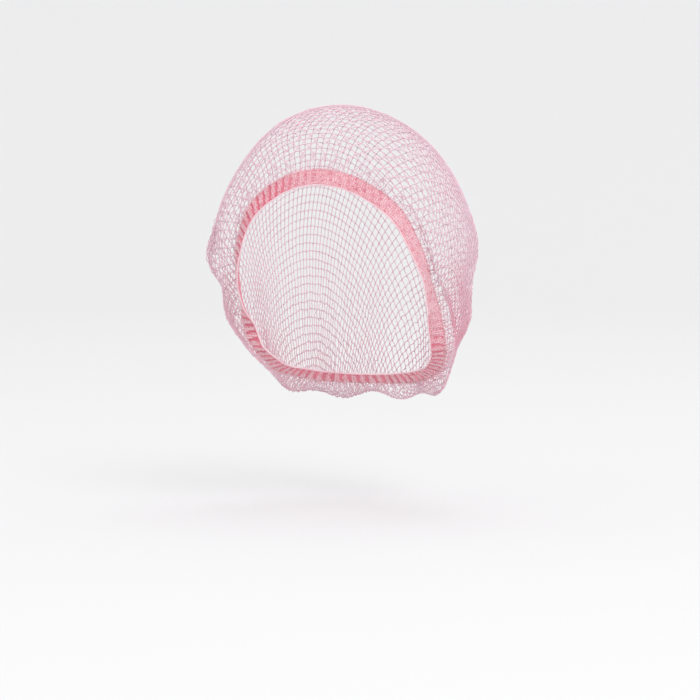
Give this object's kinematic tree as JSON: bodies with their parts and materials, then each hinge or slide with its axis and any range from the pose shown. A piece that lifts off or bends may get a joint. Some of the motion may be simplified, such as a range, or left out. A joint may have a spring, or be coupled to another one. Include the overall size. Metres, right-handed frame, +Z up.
{
  "type": "hairnet",
  "caption": "Large-mesh knitted hairnet with a slack pouch at the nape and a ribbed elastic band round the whole face opening, in its worn form.",
  "frame": {"origin": "the inside of the crown, where the net bears on the top of the head", "axes": "+Z up, -Y out of the face opening, +X the wearer's left"},
  "size_m": [0.2024, 0.1893, 0.2306],
  "materials": {
    "net_yarn": "soft matt knitted yarn",
    "band_knit": "fine elastic knit, gathered"
  },
  "bodies": {
    "root": {"net_bag": "net_yarn", "elastic_band": "band_knit"}
  },
  "joints": []
}
